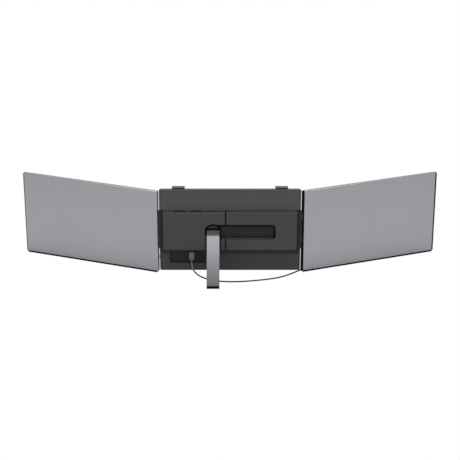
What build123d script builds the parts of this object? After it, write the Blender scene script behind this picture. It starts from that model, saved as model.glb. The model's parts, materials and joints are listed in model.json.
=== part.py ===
from build123d import *
import os
from math import cos, pi, radians, sin, tan

# Laptop screen extender: two portable screens hinged to a sliding centre that clips to a laptop lid,
# with a swivelling leg behind and a link cable between the left housing and the right screen.
# Millimetres. X runs across, +Y towards the viewer of the screens, +Z up from the table.
# Working coordinates put Y = 0 on the back face of the centre boards; set_down() moves the whole
# object so that the middle of its footprint is the origin.

# screens
screen_width = 327.8
screen_height = 193.2
screen_depth = 8.4
screen_corner = 3.0
cover_edge_radius = 2.6
cover_wall = 1.3
cover_skin = 1.2
cover_front = 7.6
foot_strip_height = 2.0
foot_strip_back = 0.4
spine_width = 12.2
lip_depth = 2.7
display_size = (312.4, 180.4)
display_low_corner = (12.6, 10.6)
display_corner = 3.0
backlight_back = 4.6
backlight_floor = 5.2
backlight_front = 6.5
backlight_rim = 7.0
driver_back = 2.65
driver_span_x = (70.0, 190.0)
driver_span_z = (42.0, 98.0)
driver_corners = [(76.0, 48.0), (76.0, 92.0), (184.0, 48.0), (184.0, 92.0)]
driver_chips = [(92, 62, 14, 14), (122, 74, 18, 12), (150, 58, 10, 10), (168, 80, 8, 16)]
board_thickness = 1.1
board_hole_radius = 1.2
corner_post_radius = 2.4
view_size = (310.0, 174.6)
view_low_corner = (13.8, 13.8)
bezel_back = 7.65
fold_angle = 20.75

# centre boards
centre_width = 306.6
centre_height = 192.6
centre_bottom = 6.3
centre_corner = 4.0
shell_wall = 1.8
shell_front = 4.2
board_front = 6.0
lip_half_width = 155.0
lip_front = 2.2
split_x = -9.4
split_gap = 0.3
split_groove_width = 2.5
split_groove_floor = -9.3
cover_step = 1.25
rim_drop = 0.3
edge_groove_x = 151.4
edge_groove_width = 0.8
edge_groove_depth = 0.6

# raised housing behind the boards
housing_width = 292.4
housing_bottom = 61.9
housing_top = 150.5
housing_back = -17.3
housing_corner = 2.5
housing_edge_radius = 1.6
recess_floor = -7.8
recess_wall = 1.6

# screen hinges: offset of each axis, worked out so that the folded screens stack flat in front
fold_clearance = 1.2
stack_clearance = 0.8
inner_edge_x = 159.0
inner_edge_y = {"left": 0.0, "right": 1.92}
spine_reveal = {"left": 0.0, "right": 3.9}
hinge_inset = {"left": 8.0, "right": 4.8}
knuckle_radius = 2.6
hinge_pin_radius = 1.2
unit_bottoms = (64.0, 114.0)
unit_height = 34.0
fixed_knuckle = 9.0
knuckle_gap = 0.3
bracket_back = 4.7
bracket_front = 6.6
bracket_inner_x = 148.4
notch_margin = 3.1
notch_end_gap = 0.9
notch_back = 1.5
leaf_back = 1.65
leaf_front = 3.15
leaf_end = 30.5
leaf_screw_x = 24.0
leaf_screw_radius = 1.3
bracket_screw_x = 151.2
bracket_screw_inset = 6.0
bracket_screw_seat = 6.05

# stand
pivot_x = -36.9
pivot_z = 105.3
disc_radius = 16.4
disc_gap = 2.6
disc_back = -17.1
disc_floor = -9.4
disc_front = -8.0
slot_half_height = 17.3
slot_end_x = 99.8
slot_end_radius = 8.0
channel_half_width = 15.0
leg_width = 28.0
leg_thickness = 4.6
leg_pin_y = -12.3
leg_pin_radius = 1.5
leg_pin_half = 15.4
leg_open = 33.35
knuckle_length = 10.3
knuckle_half = 2.5
foot_length = 4.4

# clips
clip_centre_x = 112.4
clip_width = 27.6
clip_top = 202.35
clip_under = 199.3
clip_back = 1.0
clip_front = 14.2
clip_lip = 2.2
lip_bottom = 194.7
stem_back = 2.1
stem_front = 3.9
stem_bottom = 118.0
spring_y = 2.3
spring_bottom = 78.0

# rails that let the right half slide out
rail_left_end = -118.0
rail_right_end = 52.0
rail_back = -3.4
rail_front = -0.6
rail_height = 12.0
rail_heights = (76.0, 130.0)
guide_spans = ((-27.0, -12.0), (-64.0, -50.0))
clamp_span = (10.0, 50.0)
clamp_screws = (16.0, 44.0)
ear_offset = 8.8
ear_half = 11.2

# controls and ports on the left housing
rocker_centres = (-110.1, -74.3)
rocker_length = 23.4
rocker_depth = 4.4
rocker_y = -6.7
rocker_axis_z = 146.7
rocker_top = 151.1
led_centres = (-41.6, -32.0)
port_y = -8.2
board_back = -6.55
board_corners = [(-134.0, 67.5), (-134.0, 136.5), (-66.5, 67.5), (-66.5, 136.5)]
main_board_span_x = (-138.0, -62.5)
main_board_top = 141.0
main_board_chips = [(-110, 112, 16, 16), (-82, 122, 12, 12), (-90, 92, 10, 14), (-122, 90, 8, 8)]
key_board_top = 143.8
switch_step = 8.0
usb_centres = (-84.4, -104.4)
hdmi_centre = -122.5
bay_left = -132.8
bay_right = -42.0
bay_bottom = 23.9
bay_floor = 3.1

# link cable
cable_diameter = 3.0
plug_bottom = 36.3
plug_top = 60.7
relief_length = 4.0
relief_radii = (1.6, 2.0)
gland_height = 4.4
gland_depth = 4.0
gland_radius = 2.1
gland_reach = 1.9
gland_seat = 2.4


def hinge_place(side):
    """Where a screen's hinge axis stands, and how far it lies in front of the screen's back face."""
    tilt = radians(fold_angle)
    stack = board_front + fold_clearance + screen_depth
    if side == "right":
        stack += stack_clearance + screen_depth
    inset = hinge_inset[side]
    gap = (stack - inner_edge_y[side] - inset * sin(tilt)) / (1 + cos(tilt))
    axis_y = stack - gap
    axis_x = inner_edge_x + inset * cos(tilt) - gap * sin(tilt)
    return axis_x, axis_y, gap


def set_down(shape):
    """Moves a shape from working coordinates to the frame whose origin is under the object's middle."""
    tilt = radians(fold_angle)
    front = inner_edge_y["right"] + screen_width * sin(tilt) + screen_depth * cos(tilt)
    back = leg_pin_y - pivot_z * tan(radians(leg_open)) - leg_thickness / 2 / cos(radians(leg_open))
    return Pos(0, -(front + back) / 2, 0) * shape


def write(node, *solids):
    placed = [set_down(solid) for solid in solids]
    export_step(placed[0] if len(placed) == 1 else Compound(placed), f"parts/{node}.step")


def block(x0, x1, y0, y1, z0, z1):
    middle = Pos((x0 + x1) / 2, (y0 + y1) / 2, (z0 + z1) / 2)
    return middle * Box(x1 - x0, y1 - y0, z1 - z0)


def upright(outline, y0, y1):
    """Carries an outline drawn in X and Z forward from y0 to y1."""
    return extrude(Plane.XZ.offset(-y0) * outline, amount=y0 - y1)


def standing(outline, z0, z1):
    """Carries an outline drawn in X and Y up from z0 to z1."""
    return extrude(Plane.XY.offset(z0) * outline, amount=z1 - z0)


def crosswise(outline, x0, x1):
    """Carries an outline drawn in Y and Z across from x0 to x1."""
    return extrude(Plane.YZ.offset(x0) * outline, amount=x1 - x0)


def rounded(width, height, radius, x, z):
    return Pos(x, z) * RectangleRounded(width, height, radius)


def mirrored(shape):
    return mirror(shape, Plane.YZ)


# ---- screens, drawn flat: x from the inner edge outwards, y from the back face forward ----


def screen_outline(inset):
    height = screen_height - foot_strip_height
    return rounded(
        screen_width - 2 * inset,
        height - 2 * inset,
        screen_corner - inset,
        screen_width / 2,
        foot_strip_height + height / 2,
    )


def screen_form():
    """The outer form of the back cover, with its rounded back edge."""
    form = upright(screen_outline(0), 0, cover_front)
    return fillet(form.faces().sort_by(Axis.Y)[0].edges(), cover_edge_radius)


def hinge_notches(side):
    """Pockets in the inner edge of a screen that leave room for the fixed hinge fingers."""
    depth = hinge_inset[side] + notch_margin
    height = unit_height + 2 * notch_end_gap
    return [
        block(-1, depth, notch_back, screen_depth + 1, low, low + height)
        for low in (bottom - notch_end_gap for bottom in unit_bottoms)
    ]


def board_posts():
    """Posts inside the back cover that carry the driver board."""
    return [
        upright(Pos(x, z) * Circle(corner_post_radius), cover_skin, driver_back - 0.05)
        for x, z in driver_corners
    ]


def display_rib():
    """Low wall round the inside of the back cover that the display unit rests on."""
    width, height = display_size
    middle_x = display_low_corner[0] + width / 2
    middle_z = display_low_corner[1] + height / 2
    outer = rounded(width - 6.0, height - 6.0, display_corner, middle_x, middle_z)
    inner = rounded(width - 8.4, height - 8.4, display_corner, middle_x, middle_z)
    rib = upright(outer - inner, cover_skin - 0.1, backlight_back - 0.05)
    low = unit_bottoms[0] - 2
    high = unit_bottoms[1] + unit_height + 2
    return rib - block(spine_width, leaf_end + 5, 0, screen_depth, low, high)


def leaf_pads():
    """Raised pads that the hinge plates are screwed down on."""
    back = cover_skin - 0.1
    front = leaf_back - 0.05
    return [
        block(spine_width + 3, leaf_end - 1, back, front, low + 2, low + unit_height - 2)
        for low in unit_bottoms
    ]


def screen_back_cover(side):
    cover = screen_form() - upright(screen_outline(cover_wall), cover_skin, screen_depth)
    cover -= block(-1, cover_wall + 0.1, lip_depth, screen_depth, -1, screen_height + 1)
    cover -= hinge_notches(side)
    if spine_reveal[side]:
        cover -= block(-1, spine_reveal[side], -1, screen_depth, -1, screen_height + 1)
    return cover + board_posts() + display_rib() + leaf_pads()


def screen_spine(side):
    """Plastic bar that closes the inner edge of a screen and carries its hinges."""
    flange = screen_form() & block(-1, cover_wall, lip_depth + 0.1, cover_front, -1, screen_height)
    room = upright(screen_outline(cover_wall + 0.1), cover_skin + 0.1, cover_front)
    spine = flange + (room & block(cover_wall - 0.1, spine_width, 0, cover_front, 0, screen_height))
    spine += block(1, 2, lip_depth + 0.1, cover_front, screen_corner + 4, screen_height - screen_corner - 2)
    reveal = spine_reveal[side]
    if reveal:
        spine += screen_form() & block(-1, reveal - 0.1, -1, cover_front, -1, screen_height + 1)
    spine -= hinge_notches(side)
    for bottom in unit_bottoms:
        low = bottom + fixed_knuckle + knuckle_gap - 0.2
        high = 2 * bottom + unit_height - low
        spine -= block(hinge_inset[side] + 2, spine_width + 1, 0, leaf_front + 0.25, low, high)
    if side == "right":
        spine -= crosswise(Pos(gland_depth, gland_height) * Circle(gland_radius + 0.05), -1, gland_seat)
    return spine


def screen_bezel(side):
    """Front frame around the display."""
    frame = upright(screen_outline(0.2), bezel_back, screen_depth)
    frame = chamfer(frame.faces().sort_by(Axis.Y)[-1].edges(), 0.3)
    middle_x = view_low_corner[0] + view_size[0] / 2
    middle_z = view_low_corner[1] + view_size[1] / 2
    frame -= upright(rounded(*view_size, 1.0, middle_x, middle_z), bezel_back - 1, screen_depth + 1)
    return frame - hinge_notches(side)


def display_plate(shrink, y0, y1):
    width, height = display_size
    middle_x = display_low_corner[0] + width / 2
    middle_z = display_low_corner[1] + height / 2
    return upright(rounded(width - shrink, height - shrink, display_corner, middle_x, middle_z), y0, y1)


def display_panel():
    return display_plate(0.0, backlight_front + 0.05, bezel_back - 0.1)


def backlight_unit():
    """Light guide in a shallow pressed tray, open at the back behind its rolled rim."""
    tray = display_plate(0.4, backlight_back, backlight_front)
    return tray - display_plate(2 * backlight_rim, backlight_back - 1, backlight_floor)


def driver_board():
    """Board behind the display with its chips, connectors and mounting holes."""
    front = driver_back + board_thickness
    board = block(*driver_span_x, driver_back, front, *driver_span_z)
    for x, z, width, height in driver_chips:
        board += upright(Pos(x, z) * Rectangle(width, height), front, front + 0.65)
    return board - [upright(Pos(x, z) * Circle(board_hole_radius), 2, 4) for x, z in driver_corners]


def hinge_leaves(side, gap):
    """Moving half of the two hinges: a knuckle round the pin and a plate inside the screen."""
    inset = hinge_inset[side]
    leaves = []
    for bottom in unit_bottoms:
        low = bottom + fixed_knuckle + knuckle_gap
        high = bottom + unit_height - fixed_knuckle - knuckle_gap
        leaf = standing(Pos(inset, gap) * Circle(knuckle_radius), low, high)
        leaf += block(inset, inset + knuckle_radius, leaf_back, gap, low, high)
        leaf += block(inset, spine_width + 0.4, leaf_back, leaf_front, low, high)
        leaf += block(0.4, inset, leaf_back, cover_front - 0.1, low, high)
        top = bottom + unit_height
        leaf += block(spine_width + 0.3, leaf_end, leaf_back, leaf_front, bottom + 1, top - 1)
        leaf -= standing(Pos(inset, gap) * Circle(hinge_pin_radius + 0.06), low - 1, high + 1)
        for z in (bottom + 7, top - 7):
            leaf -= upright(Pos(leaf_screw_x, z) * Circle(leaf_screw_radius), 0, 5)
        leaves.append(leaf)
    return leaves


def foot_strip():
    """Rubber strip along the bottom edge that the screen stands on."""
    strip = block(3.5, screen_width - 3.5, foot_strip_back, cover_front - 0.1, 0, foot_strip_height)
    return chamfer(strip.faces().sort_by(Axis.Z)[0].edges(), 0.5)


def cable_gland():
    """Strain relief in the right screen's lower inner corner, where the link cable goes in."""
    profile = Polyline(
        (0, -gland_reach),
        (cable_diameter / 2 + 0.1, -gland_reach),
        (gland_radius, -gland_reach / 2),
        (gland_radius, gland_seat - 0.05),
        (0, gland_seat - 0.05),
        close=True,
    )
    return Pos(0, gland_depth, gland_height) * Rot(0, 0, -90) * revolve(make_face(profile), Axis.Y)


def screens():
    for side in ("left", "right"):
        axis_x, axis_y, gap = hinge_place(side)
        swing = Pos(axis_x, axis_y, 0) * Rot(0, 0, fold_angle) * Pos(-hinge_inset[side], -gap, 0)
        pieces = {
            "back_cover": [screen_back_cover(side)],
            "hinge_spine": [screen_spine(side)],
            "bezel": [screen_bezel(side)],
            "display_panel": [display_panel()],
            "backlight_unit": [backlight_unit()],
            "driver_board": [driver_board()],
            "hinge_leaves": hinge_leaves(side, gap),
            "foot_strip": [foot_strip()],
        }
        if side == "right":
            pieces["cable_gland"] = [cable_gland()]
        for name, solids in pieces.items():
            placed = [swing * solid for solid in solids]
            if side == "left":
                placed = [mirrored(solid) for solid in placed]
            node = "cable_gland" if name == "cable_gland" else f"{side}_screen_{name}"
            write(node, *placed)


# ---- fixed halves of the screen hinges ----


def hinge_brackets(side):
    axis_x, axis_y, _ = hinge_place(side)
    outer = axis_x + knuckle_radius
    finger = Pos((bracket_inner_x + outer) / 2, (bracket_back + bracket_front) / 2) * Rectangle(
        outer - bracket_inner_x, bracket_front - bracket_back
    )
    finger += Pos(axis_x, (bracket_back + axis_y) / 2) * Rectangle(2 * knuckle_radius, axis_y - bracket_back)
    corner = finger.vertices().sort_by_distance(Vector(outer, bracket_back, 0))[0]
    finger = fillet(corner, 1.8) + Pos(axis_x, axis_y) * Circle(knuckle_radius)
    finger -= Pos(axis_x, axis_y) * Circle(hinge_pin_radius + 0.02)
    brackets = []
    for bottom in unit_bottoms:
        top = bottom + unit_height
        bracket = block(bracket_inner_x, 154.6, bracket_back, bracket_front, bottom, top)
        bracket += standing(finger, bottom, bottom + fixed_knuckle)
        bracket += standing(finger, top - fixed_knuckle, top)
        for z in (bottom + bracket_screw_inset, top - bracket_screw_inset):
            bracket -= upright(Pos(bracket_screw_x, z) * Circle(1.2), 0, 9)
            bracket -= upright(Pos(bracket_screw_x, z) * Circle(2.0), bracket_screw_seat - 0.05, 9)
        brackets.append(bracket)
    return brackets


def hinge_pins(side):
    axis_x, axis_y, _ = hinge_place(side)
    pins = []
    for bottom in unit_bottoms:
        top = bottom + unit_height
        pin = standing(Pos(axis_x, axis_y) * Circle(hinge_pin_radius), bottom - 0.4, top + 0.4)
        for z in (bottom - 0.55, top + 0.05):
            pin += standing(Pos(axis_x, axis_y) * Circle(1.9), z, z + 0.5)
        pins.append(pin)
    return pins


def hinge_cover():
    """Plastic cheek beside the housing that hides the feet of the hinge brackets."""
    inner = housing_width / 2 + 0.1
    corners = [(155.5, -9.0), (155.5, -5.0), (157.0, -3.5), (157.0, 0.8), (153.9, 3.6), (153.9, 6.6)]
    outline = make_face(Polyline((inner, 6.6), (inner, -9.0), *corners, close=True))
    cover = standing(outline, housing_bottom + 0.4, housing_top - 0.4)
    back_edge = cover.edges().filter_by(Axis.Z).sort_by_distance(Vector(155.5, -9.0, pivot_z))[0]
    cover = fillet(back_edge, 3.0)
    for bottom in unit_bottoms:
        top = bottom + unit_height
        cover -= block(bracket_inner_x - 0.2, 160, bracket_back - 0.1, 8, bottom - 0.15, top + 0.15)
        for z in (bottom + bracket_screw_inset, top - bracket_screw_inset):
            cover -= upright(Pos(bracket_screw_x, z) * Circle(1.0), 0, 6)
    return cover


# ---- centre ----


def stand_recess(grow):
    """Outline of the recess that takes the leg: round seat, slot to the right and way out below."""
    seat = Pos(pivot_x, pivot_z) * Circle(disc_radius + disc_gap + grow)
    right = slot_end_x + grow
    half = slot_half_height + grow
    slot = Pos((pivot_x + right) / 2, pivot_z) * Rectangle(right - pivot_x, 2 * half)
    ends = slot.vertices().sort_by(Axis.X)[-2:]
    slot = fillet(ends, slot_end_radius + grow)
    drop = pivot_z - housing_bottom + 5
    channel = Pos(pivot_x, pivot_z - drop / 2) * Rectangle(2 * (channel_half_width + grow), drop)
    return seat + slot + channel


def half_span(side, inset):
    if side == "left":
        return -lip_half_width - 1, split_x - split_gap / 2 - inset
    return split_x + split_gap / 2 + inset, lip_half_width + 1


def half_room(side, inset):
    x0, x1 = half_span(side, inset)
    return block(x0, x1, -30, 30, 0, 250)


def centre_outline(inset):
    return rounded(
        centre_width - 2 * inset,
        centre_height - 2 * inset,
        centre_corner - inset,
        0,
        centre_bottom + centre_height / 2,
    )


def cheek_room(grow):
    """The part of the boards' side edges that is cut away for the hinge cheeks."""
    edge = housing_width / 2 - grow
    return [
        block(x0, x1, -1, 10, housing_bottom - grow, housing_top + grow)
        for x0, x1 in ((edge, 160), (-160, -edge))
    ]


def screw_places(side):
    sign = -1 if side == "left" else 1
    xs = (sign * 140.0, sign * 84.0, -26.0 if side == "left" else 12.0)
    return [(x, z) for x in xs for z in (14.0, 189.5)]


def rear_board():
    """The flat board, with a lip along its side edges and a fine groove beside each lip."""
    board = upright(centre_outline(0), 0, shell_front)
    top = centre_bottom + centre_height
    wide = rounded(2 * lip_half_width, centre_height, centre_corner, 0, (top + centre_bottom) / 2)
    board += upright(wide, 0, lip_front)
    board = chamfer(board.faces().sort_by(Axis.Y)[0].edges(), 0.8)
    for x in (-edge_groove_x, edge_groove_x):
        half = edge_groove_width / 2
        board -= block(x - half, x + half, -1, edge_groove_depth, centre_bottom + 5, top - 5)
    return board


def split_groove(grow):
    """The wide groove down the housing where the two halves meet."""
    half = split_groove_width / 2 + grow
    return block(split_x - half, split_x + half, housing_back - 1, split_groove_floor + grow, 0, 250)


def rear_shell(side):
    """One half of the rear moulding: flat board and raised housing, hollow and open to the front."""
    height = housing_top - housing_bottom
    middle = housing_bottom + height / 2
    housing = upright(rounded(housing_width, height, housing_corner, 0, middle), housing_back, 1)
    housing = fillet(housing.faces().sort_by(Axis.Y)[0].edges(), housing_edge_radius)
    shell = (rear_board() + housing) - cheek_room(0)
    shell -= upright(stand_recess(0), housing_back - 1, recess_floor)

    inner = upright(
        rounded(housing_width - 2 * shell_wall, height - 2 * shell_wall, 1.0, 0, middle),
        housing_back + shell_wall,
        shell_wall + 0.1,
    )
    inner -= upright(stand_recess(recess_wall), housing_back, recess_floor + recess_wall)
    inner += upright(centre_outline(shell_wall), shell_wall, shell_front + 1)
    inner -= cheek_room(shell_wall)
    shell = (shell & half_room(side, 0)) - split_groove(0)
    shell -= (inner & half_room(side, shell_wall)) - split_groove(shell_wall)
    if side == "right":
        lowered = shell_front - rim_drop
        shell -= block(split_x, split_x + cover_step + 0.35, lowered, shell_front + 1, 0, 250)

    for z in rail_heights:
        half = rail_height / 2 + 0.4
        shell -= block(split_x - 5, split_x + 5, rail_back - 0.4, rail_front + 0.4, z - half, z + half)
    sign = -1 if side == "left" else 1
    clip_x = sign * clip_centre_x
    half = clip_width / 2 - 0.4
    shell -= block(clip_x - half, clip_x + half, stem_back - 0.3, shell_front + 1, 190, 200)
    shell += [upright(Pos(x, z) * Circle(2.8), shell_wall - 0.1, shell_front) for x, z in screw_places(side)]
    shell -= [upright(Pos(x, z) * Circle(1.05), shell_wall, shell_front + 1) for x, z in screw_places(side)]
    return shell + rail_posts(side) + spring_anchor(sign)


def post(x, z, radius, front):
    """Round post that stands on the housing's back wall, or on the recess where that is in its way."""
    whole = upright(Pos(x, z) * Circle(radius), housing_back + shell_wall - 0.1, front)
    return whole - upright(stand_recess(recess_wall), housing_back, recess_floor + recess_wall - 0.1)


def rail_posts(side):
    """Posts under the ears of the rail guides, or of the clamps, on both sides of each rail."""
    if side == "left":
        return [
            post((x0 + x1) / 2, z + step, 2.2, rail_back - 1.4)
            for z in rail_heights
            for step in (-ear_offset, ear_offset)
            for x0, x1 in guide_spans
        ]
    return [
        post(x, z + step, 2.2, rail_back - 2.0)
        for z in rail_heights
        for step in (-ear_offset, ear_offset)
        for x in clamp_screws
    ]


def spring_anchor(sign):
    x = sign * clip_centre_x
    return block(x - 2.4, x + 2.4, 0, shell_front - 0.3, housing_bottom + 1, spring_bottom)


def top_ears():
    """Ears under the housing's top wall that hold the rockers' trunnions."""
    ears = []
    ceiling = housing_top - shell_wall
    for x in rocker_centres:
        for y in (rocker_y - 4.0, rocker_y + 4.0):
            ear = block(x - 2.2, x + 2.2, y - 0.5, y + 0.5, rocker_axis_z - 1.6, ceiling + 0.1)
            ears.append(ear - upright(Pos(x, rocker_axis_z) * Circle(0.82), y - 1, y + 1))
    return ears


def key_board_hangers():
    return [
        block(x0, x1, -11, -3.7, key_board_top, housing_top - shell_wall + 0.1)
        for x0, x1 in ((-131, -126), (-28.5, -25))
    ]


def left_rear_shell():
    shell = rear_shell("left") + top_ears() + key_board_hangers()
    shell += [post(x, z, corner_post_radius, board_back) for x, z in board_corners]
    for x in rocker_centres:
        shell -= block(x - 12.25, x + 12.25, rocker_y - 2.5, rocker_y + 2.5, 148, 152)
    for x in led_centres:
        shell -= standing(Pos(x, rocker_y) * Circle(1.35), 148, 152)
    ports = [Pos(x, port_y) * RectangleRounded(9.6, 3.8, 1.8) for x in usb_centres]
    ports.append(Pos(hdmi_centre, port_y) * RectangleRounded(12.0, 4.2, 0.8))
    shell -= [standing(port, housing_bottom - 1, housing_bottom + 2) for port in ports]
    shell -= block(bay_left, bay_right, -1, shell_wall + 1, bay_bottom, housing_bottom)
    return shell - upright(Pos(pivot_x, pivot_z) * Circle(6.3), recess_floor - 1, recess_floor + 3)


def port_bay_liner():
    """Dark tray behind the opening below the ports."""
    tray = block(bay_left - 2, bay_right + 2, shell_wall + 0.05, 4.0, bay_bottom - 2, housing_bottom + 0.9)
    return tray - block(bay_left, bay_right, 0, bay_floor, bay_bottom, housing_bottom)


def front_cover(side):
    """Flat cover that closes a half from the front; the laptop's lid rests on it."""
    cover = upright(centre_outline(0), shell_front + 0.02, board_front)
    cover = chamfer(cover.faces().sort_by(Axis.Y)[-1].edges(), 0.7)
    x0, x1 = half_span(side, 0)
    if side == "left":
        x1 += cover_step
    else:
        x0 += cover_step
    cover = (cover - cheek_room(0)) & block(x0, x1, 0, board_front + 1, 0, 250)
    for x, z in screw_places(side):
        cover -= upright(Pos(x, z) * Circle(1.2), shell_front - 1, board_front + 1)
        cover -= upright(Pos(x, z) * Circle(2.2), board_front - 1.1, board_front + 1)
    return cover


def pan_screw(x, z, back, seat, radius):
    """Pan-head screw driven in from the front; seat is where its head lies."""
    screw = upright(Pos(x, z) * Circle(radius), back, seat + 0.05)
    return screw + upright(Pos(x, z) * Circle(2 * radius), seat, seat + 0.85)


def housing_screws(side):
    """Screws of one half: six in the front cover and four in the hinge brackets."""
    sign = -1 if side == "left" else 1
    screws = [pan_screw(x, z, 2.2, 4.92, 1.0) for x, z in screw_places(side)]
    for bottom in unit_bottoms:
        for z in (bottom + bracket_screw_inset, bottom + unit_height - bracket_screw_inset):
            screws.append(pan_screw(sign * bracket_screw_x, z, 0.6, bracket_screw_seat, 0.95))
    return screws


def front_pads(side):
    """Soft strips that keep the laptop's lid off the cover."""
    sign = -1 if side == "left" else 1
    pads = []
    for x in (sign * 112.4, -30.0 if side == "left" else 30.0):
        for z in (20.0, 182.0):
            pads.append(upright(rounded(30, 7, 3.2, x, z), board_front, board_front + 0.8))
    return pads


def clip(sign):
    """Hook over the laptop lid's top edge, on a flat stem that slides in the board."""
    x0 = clip_centre_x - clip_width / 2
    x1 = clip_centre_x + clip_width / 2
    outline = Polyline(
        (clip_back, clip_under),
        (clip_front - clip_lip, clip_under),
        (clip_front - clip_lip, lip_bottom),
        (clip_front, lip_bottom),
        (clip_front, clip_top),
        (clip_back, clip_top),
        close=True,
    )
    hook = crosswise(make_face(outline), x0, x1)
    along = hook.edges().filter_by(Axis.X)
    top_front = along.sort_by_distance(Vector(clip_centre_x, clip_front, clip_top))[0]
    hook = fillet(top_front, 2.8)
    top_back = hook.edges().filter_by(Axis.X).sort_by_distance(Vector(clip_centre_x, clip_back, clip_top))[0]
    hook = fillet(top_back, 1.2)
    upright_edges = hook.edges().filter_by(Axis.Z).filter_by(lambda e: e.center().Y < clip_back + 0.5)
    hook = fillet(upright_edges, 1.4)
    stem = block(x0 + 0.9, x1 - 0.9, stem_back, stem_front, stem_bottom, clip_under + 0.5)
    stem -= block(x0 + 6, x1 - 6, 0, 9, stem_bottom + 5, 172)
    whole = hook + stem
    return whole if sign > 0 else mirrored(whole)


def clip_pad(sign):
    """Soft lining inside the hook."""
    front = clip_front - clip_lip
    outline = Polyline(
        (6.5, clip_under),
        (front, clip_under),
        (front, lip_bottom + 0.3),
        (front - 0.6, lip_bottom + 0.3),
        (front - 0.6, clip_under - 0.6),
        (6.5, clip_under - 0.6),
        close=True,
    )
    pad = crosswise(make_face(outline), clip_centre_x - 12.4, clip_centre_x + 12.4)
    return pad if sign > 0 else mirrored(pad)


def clip_spring(sign):
    """Tension spring below the stem's tab, drawn as the sleeve its close-wound coils fill."""
    coils = Pos(clip_centre_x, spring_y) * (Circle(1.7) - Circle(1.0))
    spring = standing(coils, spring_bottom, stem_bottom)
    return spring if sign > 0 else mirrored(spring)


def slide_rails():
    return [
        block(rail_left_end, rail_right_end, rail_back, rail_front, z - rail_height / 2, z + rail_height / 2)
        for z in rail_heights
    ]


def rail_block(x0, x1, z, play, back, front, screws):
    """Block with a slot for a rail and an ear above and below it."""
    half = rail_height / 2
    holder = block(x0, x1, rail_back - back, rail_front + front, z - half - 2, z + half + 2)
    holder += block(x0, x1, rail_back - back, rail_back - back + 2, z - ear_half, z + ear_half)
    holder -= block(x0 - 1, x1 + 1, rail_back - play, rail_front + play, z - half - play, z + half + play)
    for x in screws:
        for step in (-ear_offset, ear_offset):
            holder -= upright(Pos(x, z + step) * Circle(1.1), -9, 9)
    return holder


def rail_guides():
    """Slippery plastic guides in the left half that the rails run in."""
    return [
        rail_block(x0, x1, z, 0.3, 1.4, 1.9, [(x0 + x1) / 2])
        for z in rail_heights
        for x0, x1 in guide_spans
    ]


def rail_clamps():
    """Blocks that hold the rails in the right half."""
    return [rail_block(*clamp_span, z, 0.02, 2.0, 2.4, clamp_screws) for z in rail_heights]


def rockers():
    """Rocker keys with a retaining flange and trunnions moulded on."""
    keys = []
    for x in rocker_centres:
        cap = block(
            x - rocker_length / 2, x + rocker_length / 2,
            rocker_y - rocker_depth / 2, rocker_y + rocker_depth / 2,
            146.4, rocker_top,
        )
        cap = fillet(cap.edges().filter_by(Axis.Z), 1.2)
        cap = chamfer(cap.faces().sort_by(Axis.Z)[-1].edges(), 0.3)
        cap += block(x - 13, x + 13, rocker_y - 3.2, rocker_y + 3.2, 146.0, 147.4)
        cap += upright(Pos(x, rocker_axis_z) * Circle(0.76), rocker_y - 4.4, rocker_y + 4.4)
        keys.append(cap)
    return keys


def key_board():
    """Small board under the rockers with their four tactile switches."""
    board = block(-128, -27, -11, -3.7, key_board_top - board_thickness, key_board_top)
    for x in rocker_centres:
        for step in (-switch_step, switch_step):
            switch = Pos(x + step, rocker_y)
            board += standing(switch * Rectangle(3.2, 3.2), key_board_top, key_board_top + 1.0)
            board += standing(switch * Circle(0.8), key_board_top + 1.0, key_board_top + 1.3)
    return board


def led_light_pipes():
    return [standing(Pos(x, rocker_y) * Circle(1.3), key_board_top, housing_top + 0.1) for x in led_centres]


def main_board():
    """Hub board in the left housing with its chips."""
    front = board_back + board_thickness
    board = block(*main_board_span_x, board_back, front, housing_bottom + 2.6, main_board_top)
    for x, z, width, height in main_board_chips:
        board += upright(Pos(x, z) * Rectangle(width, height), board_back - 1.2, board_back)
    return board - [upright(Pos(x, z) * Circle(board_hole_radius), -9, 0) for x, z in board_corners]


def socket(x, width, depth, radius):
    """Metal socket on the main board, opening downwards, with its contact tongue."""
    bottom = housing_bottom + 0.2
    top = bottom + 7.6
    place = Pos(x, port_y)
    shell = standing(place * RectangleRounded(width, depth, radius), bottom, top)
    mouth = place * RectangleRounded(width - 0.6, depth - 0.6, radius - 0.3)
    shell -= standing(mouth, bottom - 1, top - 0.8)
    return shell + standing(place * Rectangle(width - 3.2, 0.6), bottom + 1.6, top - 0.5)


def flex_cable_guide():
    """Small guide on the left board's edge where the flat cable crosses to the left screen."""
    guide = block(-155.6, -153.35, lip_front + 0.1, 4.6, 33.4, 42.8)
    return fillet(guide.edges().filter_by(Axis.Y).sort_by(Axis.X)[:2], 1.0)


# ---- stand ----


def stand_disc():
    """Swivel disc with a slot for the leg, lugs for its pin and a hub through the housing floor."""
    disc = upright(Pos(pivot_x, pivot_z) * Circle(disc_radius), disc_back, disc_front)
    disc = chamfer(disc.faces().sort_by(Axis.Y)[0].edges(), 0.4)
    half = leg_width / 2 + 0.5
    disc -= block(pivot_x - half, pivot_x + half, disc_back - 1, disc_floor, pivot_z - 20, pivot_z + 8)
    disc += upright(Pos(pivot_x, pivot_z) * Circle(5.0), disc_front - 0.1, -5.0)
    disc -= upright(Pos(pivot_x, pivot_z) * Circle(1.45), -8.6, 0)
    reach = leg_pin_half + 0.2
    bore = Pos(leg_pin_y, pivot_z) * Circle(leg_pin_radius + 0.02)
    return disc - crosswise(bore, pivot_x - reach, pivot_x + reach)


def stand_bush():
    """Flanged sleeve in the housing floor that the hub turns in."""
    bush = upright(Pos(pivot_x, pivot_z) * Circle(6.25), recess_floor, recess_floor + 1.7)
    bush += upright(Pos(pivot_x, pivot_z) * Circle(8.0), recess_floor + 1.65, recess_floor + 2.3)
    return bush - upright(Pos(pivot_x, pivot_z) * Circle(5.06), recess_floor - 1, recess_floor + 4)


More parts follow.
